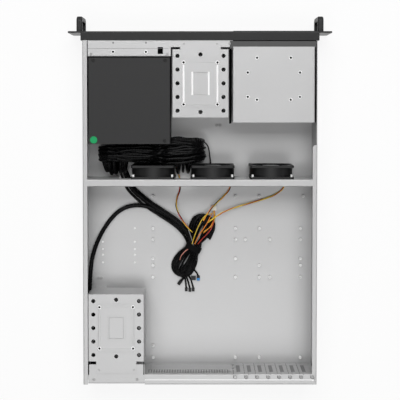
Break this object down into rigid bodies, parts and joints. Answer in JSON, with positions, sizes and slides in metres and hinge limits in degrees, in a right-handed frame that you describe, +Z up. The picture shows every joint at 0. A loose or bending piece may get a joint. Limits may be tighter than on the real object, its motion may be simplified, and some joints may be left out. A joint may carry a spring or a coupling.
{
  "type": "rackmount server case",
  "caption": "Open two-unit rackmount chassis with power supply, fan wall, drive brackets, drive cage, handles and tied internal cables.",
  "frame": {"origin": "under the middle of the whole case, on the plane it rests on", "axes": "+Z up; -Y towards the front panel; +X to the right of someone who faces the front panel"},
  "size_m": [0.4826, 0.678, 0.0885],
  "materials": {
    "galvanised_steel": "satin",
    "bright_steel": "bright",
    "black_powder_coat": "fine matt powder coat",
    "charcoal_paint": "matt",
    "black_plastic": "matt",
    "button_metal": "satin",
    "black_screw": "satin",
    "circuit_board": "solder mask",
    "light_lens": "clear",
    "green_label": "paper",
    "black_cable": "smooth",
    "coloured_wire": "smooth",
    "white_nylon": "smooth"
  },
  "bodies": {
    "case": {"chassis_tub": "galvanised_steel", "front_bulkhead": "galvanised_steel", "front_panel": "black_powder_coat", "ear_left": "black_powder_coat", "ear_right": "black_powder_coat", "handle_left": "black_powder_coat", "handle_right": "black_powder_coat", "bay_cover_lower": "black_plastic", "bay_cover_upper": "black_plastic", "control_board": "circuit_board", "status_lights": "light_lens", "usb_sockets": "bright_steel", "fan_frame_1": "black_plastic", "fan_frame_2": "black_plastic", "fan_frame_3": "black_plastic", "psu_fan_frame": "black_plastic", "fan_wall": "galvanised_steel", "fan_screws": "bright_steel", "psu_case": "charcoal_paint", "psu_cover": "charcoal_paint", "psu_bracket": "galvanised_steel", "psu_inlet": "black_plastic", "black_screws": "black_screw", "psu_sticker": "green_label", "drive_bracket_front": "galvanised_steel", "drive_bracket_rear": "galvanised_steel", "drive_cage": "galvanised_steel", "case_screws": "bright_steel", "rear_panel": "galvanised_steel", "io_plate": "galvanised_steel", "rear_rail": "galvanised_steel", "rear_cap": "galvanised_steel", "slot_covers": "bright_steel", "rear_ac_socket": "black_plastic", "standoffs": "bright_steel", "ac_lead": "black_cable", "ac_lead_relief": "black_cable", "trunk_lead_1": "black_cable", "trunk_lead_2": "black_cable", "trunk_lead_3": "black_cable", "trunk_lead_4": "black_cable", "fan_lead_1": "coloured_wire", "fan_lead_2": "coloured_wire", "fan_lead_3": "coloured_wire", "board_lead": "coloured_wire", "panel_lead_1": "black_cable", "panel_lead_2": "black_cable", "hank_tied": "black_cable", "hank_front": "black_cable", "cable_tie": "black_plastic", "board_plug": "white_nylon", "small_plugs": "black_plastic", "drive_plug": "black_plastic"},
    "fan_1": {"fan_rotor_1": "black_plastic"},
    "fan_2": {"fan_rotor_2": "black_plastic"},
    "fan_3": {"fan_rotor_3": "black_plastic"},
    "supply_fan": {"psu_fan_rotor": "black_plastic"},
    "power_button": {"power_button": "button_metal"},
    "reset_button": {"reset_button": "black_plastic"},
    "supply_rocker": {"psu_rocker": "black_plastic"}
  },
  "joints": [
    {"name": "fan_1_spin", "type": "hinge", "parent": "case", "child": "fan_1", "pos_m": [0.087, -0.0525, 0.0456], "axis": [0, 1, 0], "continuous": true},
    {"name": "fan_2_spin", "type": "hinge", "parent": "case", "child": "fan_2", "pos_m": [-0.0235, -0.0525, 0.0456], "axis": [0, 1, 0], "continuous": true},
    {"name": "fan_3_spin", "type": "hinge", "parent": "case", "child": "fan_3", "pos_m": [-0.1325, -0.0525, 0.0456], "axis": [0, 1, 0], "continuous": true},
    {"name": "supply_fan_spin", "type": "hinge", "parent": "case", "child": "supply_fan", "pos_m": [0.106, -0.2515, 0.044], "axis": [0, 1, 0], "continuous": true},
    {"name": "power_press", "type": "slide", "parent": "case", "child": "power_button", "axis": [0, 1, 0], "range_m": [0, 0.0015], "stiffness_N_per_m": 600},
    {"name": "reset_press", "type": "slide", "parent": "case", "child": "reset_button", "axis": [0, 1, 0], "range_m": [0, 0.0015], "stiffness_N_per_m": 300},
    {"name": "supply_switch_rock", "type": "hinge", "parent": "case", "child": "supply_rocker", "pos_m": [0.176, -0.2634, 0.062], "axis": [-1, 0, 0], "range_deg": [0, 14]}
  ]
}
